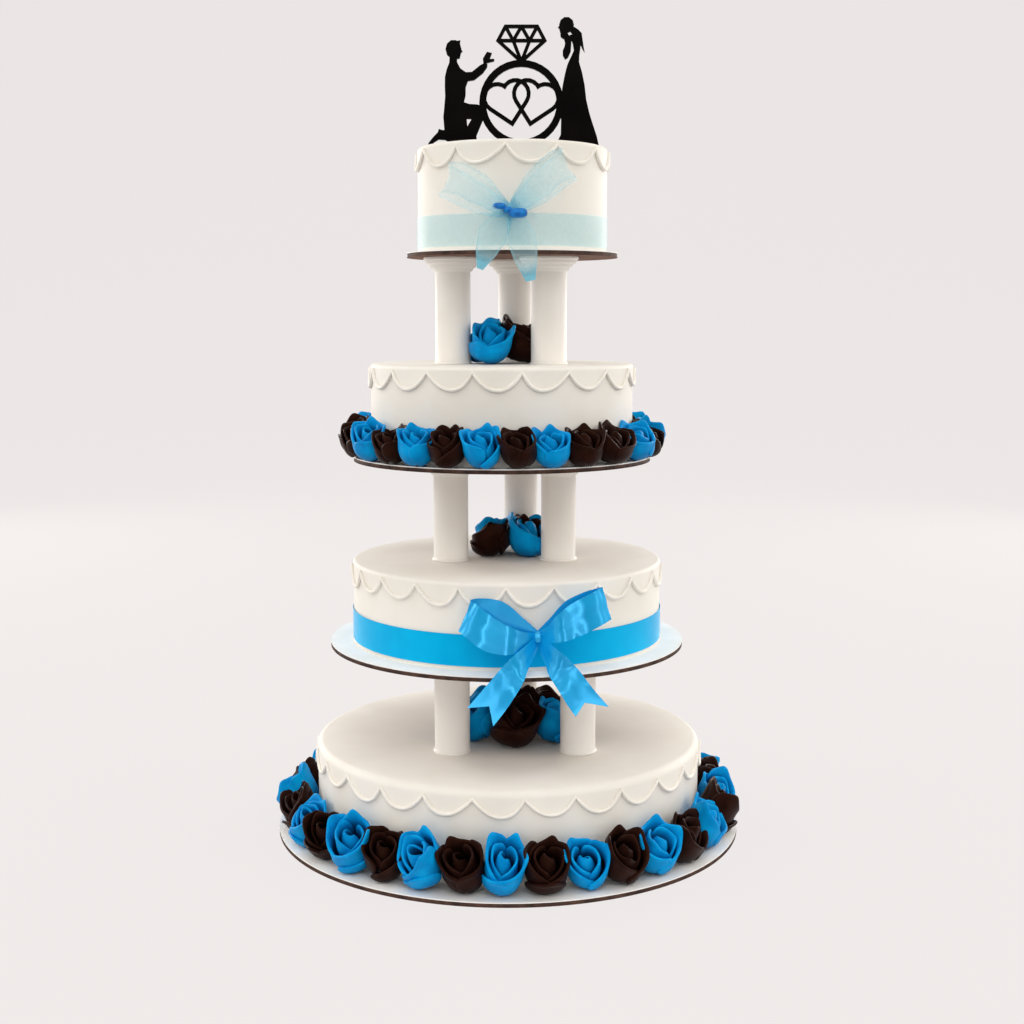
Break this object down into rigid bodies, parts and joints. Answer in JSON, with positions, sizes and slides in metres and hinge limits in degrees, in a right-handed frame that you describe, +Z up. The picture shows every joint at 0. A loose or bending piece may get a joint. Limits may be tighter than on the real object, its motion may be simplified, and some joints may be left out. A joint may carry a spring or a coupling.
{
  "type": "tiered engagement cake",
  "caption": "Tall white iced cake in round storeys held apart by pillars, with scalloped icing, blue and brown sugar roses, ribbon bows and a black ring-and-couple topper.",
  "frame": {"origin": "centre of the lowest board's underside, at the level it rests on", "axes": "+Z up, -Y the front where the bows are, +X to the right of someone facing the bows"},
  "size_m": [0.402, 0.402, 0.6888],
  "materials": {
    "icing": "soft ivory sugar paste, satin",
    "board_card": "white covered card with a brown cut edge",
    "pillar_plastic": "smooth white plastic",
    "satin_ribbon": "bright blue satin",
    "organza_ribbon": "sheer pale blue organza",
    "rose_blue": "blue modelling paste, faint sheen",
    "rose_brown": "dark brown modelling paste, faint sheen",
    "roses_mixed": "blue and brown modelling paste side by side",
    "black_acrylic": "gloss black"
  },
  "bodies": {
    "root": {"board_1": "board_card", "cake_1": "icing", "board_2": "board_card", "cake_2": "icing", "board_3": "board_card", "cake_3": "icing", "board_4": "board_card", "cake_4": "icing", "pillar_1_left": "pillar_plastic", "pillar_1_right": "pillar_plastic", "pillar_1_back": "pillar_plastic", "rose_cluster_1": "roses_mixed", "pillar_2_left": "pillar_plastic", "pillar_2_right": "pillar_plastic", "pillar_2_back": "pillar_plastic", "rose_cluster_2": "roses_mixed", "pillar_3_left": "pillar_plastic", "pillar_3_right": "pillar_plastic", "pillar_3_back": "pillar_plastic", "rose_cluster_3": "roses_mixed", "rose_01": "rose_brown", "rose_02": "rose_blue", "rose_03": "rose_brown", "rose_04": "rose_blue", "rose_05": "rose_brown", "rose_06": "rose_blue", "rose_07": "rose_brown", "rose_08": "rose_blue", "rose_09": "rose_brown", "rose_10": "rose_blue", "rose_11": "rose_brown", "rose_12": "rose_blue", "rose_13": "rose_brown", "rose_14": "rose_blue", "rose_15": "rose_brown", "rose_16": "rose_blue", "rose_17": "rose_brown", "rose_18": "rose_blue", "rose_19": "rose_brown", "rose_20": "rose_blue", "rose_21": "rose_brown", "rose_22": "rose_blue", "rose_23": "rose_brown", "rose_24": "rose_blue", "rose_25": "rose_brown", "rose_26": "rose_blue", "rose_27": "rose_brown", "rose_28": "rose_blue", "rose_29": "rose_brown", "rose_30": "rose_blue", "rose_31": "rose_brown", "rose_32": "rose_blue", "rose_spray_1": "roses_mixed", "rose_spray_2": "roses_mixed", "rose_spray_3": "roses_mixed", "ribbon_band_2": "satin_ribbon", "ribbon_bow_2": "satin_ribbon", "ribbon_band_4": "organza_ribbon", "ribbon_bow_4": "organza_ribbon", "topper": "black_acrylic"}
  },
  "joints": []
}
